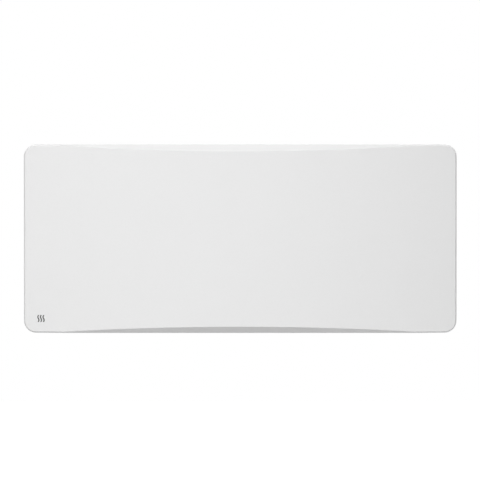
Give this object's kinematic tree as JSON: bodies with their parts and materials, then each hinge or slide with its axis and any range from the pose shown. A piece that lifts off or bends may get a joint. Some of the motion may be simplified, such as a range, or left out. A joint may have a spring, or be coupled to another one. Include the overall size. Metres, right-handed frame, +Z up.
{
  "type": "electric radiator",
  "caption": "Horizontal electric radiator with cast iron heating cores, a bowed smooth white front and a tilting wall bracket.",
  "frame": {"origin": "centre of the four wall fixings, in the plane of the wall", "axes": "+X right as seen from the room, +Y into the wall, +Z up"},
  "size_m": [1.035, 0.127, 0.45],
  "materials": {
    "panel_white": "fine satin powder coat",
    "casing_white": "fine satin powder coat",
    "galvanised": "zinc coated sheet with a faint spangle",
    "bright_steel": "bright zinc plated steel",
    "core_iron": "as cast, dark, slightly rough",
    "element_steel": "drawn stainless tube",
    "shield_aluminium": "bright rolled sheet",
    "white_plastic": "finely textured moulding",
    "grey_plastic": "plain moulding",
    "black_plastic": "finely textured moulding",
    "nylon": "natural nylon",
    "buffer_rubber": "matt rubber",
    "silicone": "matt silicone rubber",
    "film_laminate": "laminated film with printed tracks",
    "window_plastic": "smoked glossy window",
    "display_face": "liquid crystal glass over its backlight",
    "board_green": "solder mask",
    "supply_parts": "moulded components",
    "stud_brass": "turned brass",
    "lead_insulation": "flexible insulation"
  },
  "bodies": {
    "bracket": {"wall_bracket": "galvanised", "hinge_saddles": "nylon", "catch_springs": "bright_steel", "catch_rivets": "bright_steel"},
    "radiator": {"front_panel": "panel_white", "back_casing": "casing_white", "top_grille": "casing_white", "intake_grille": "casing_white", "pin_ears": "galvanised", "lower_rail": "galvanised", "upper_rail": "galvanised", "bulkhead": "galvanised", "element_clamps": "galvanised", "hinge_pins": "bright_steel", "catch_pins": "bright_steel", "panel_posts": "bright_steel", "panel_screws": "bright_steel", "clamp_screws": "bright_steel", "shield_screws": "bright_steel", "core_left": "core_iron", "core_middle": "core_iron", "core_right": "core_iron", "element_left": "element_steel", "element_middle": "element_steel", "element_right": "element_steel", "heat_shield": "shield_aluminium", "control_housing": "white_plastic", "service_panel": "white_plastic", "housing_cover": "grey_plastic", "status_light": "grey_plastic", "switch_body": "black_plastic", "room_probe": "black_plastic", "cable_gland": "black_plastic", "gland_nut": "black_plastic", "thermal_limiter": "black_plastic", "key_switches": "black_plastic", "power_relay": "black_plastic", "board_spacers": "nylon", "terminal_block": "nylon", "shield_spacers": "nylon", "wall_buffers": "buffer_rubber", "lead_grommet": "buffer_rubber", "terminal_seals": "silicone", "core_pads": "silicone", "front_film": "film_laminate", "display_window": "window_plastic", "lcd_module": "display_face", "control_board": "board_green", "power_board": "board_green", "power_supply": "supply_parts", "earth_stud": "stud_brass", "core_leads": "lead_insulation", "mains_leads": "lead_insulation", "ribbon_cable": "lead_insulation"},
    "power_key": {"key_power": "white_plastic"},
    "mode_key": {"key_mode": "white_plastic"},
    "minus_key": {"key_minus": "white_plastic"},
    "plus_key": {"key_plus": "white_plastic"},
    "ok_key": {"key_ok": "white_plastic"},
    "rocker": {"switch_rocker": "black_plastic"}
  },
  "joints": [
    {"name": "tilt", "type": "hinge", "parent": "bracket", "child": "radiator", "pos_m": [0, -0.01, -0.15], "axis": [1, 0, 0], "range_deg": [0, 12], "deforming": ["catch_springs"]},
    {"name": "power_press", "type": "slide", "parent": "radiator", "child": "power_key", "axis": [0, 0, -1], "range_m": [0, 0.0008], "stiffness_N_per_m": 1500},
    {"name": "mode_press", "type": "slide", "parent": "radiator", "child": "mode_key", "axis": [0, 0, -1], "range_m": [0, 0.0008], "stiffness_N_per_m": 1500},
    {"name": "minus_press", "type": "slide", "parent": "radiator", "child": "minus_key", "axis": [0, 0, -1], "range_m": [0, 0.0008], "stiffness_N_per_m": 1500},
    {"name": "plus_press", "type": "slide", "parent": "radiator", "child": "plus_key", "axis": [0, 0, -1], "range_m": [0, 0.0008], "stiffness_N_per_m": 1500},
    {"name": "ok_press", "type": "slide", "parent": "radiator", "child": "ok_key", "axis": [0, 0, -1], "range_m": [0, 0.0008], "stiffness_N_per_m": 1500},
    {"name": "rocker_tilt", "type": "hinge", "parent": "radiator", "child": "rocker", "pos_m": [0.456, -0.031, -0.217], "axis": [0, 1, 0], "range_deg": [0, 20]}
  ]
}
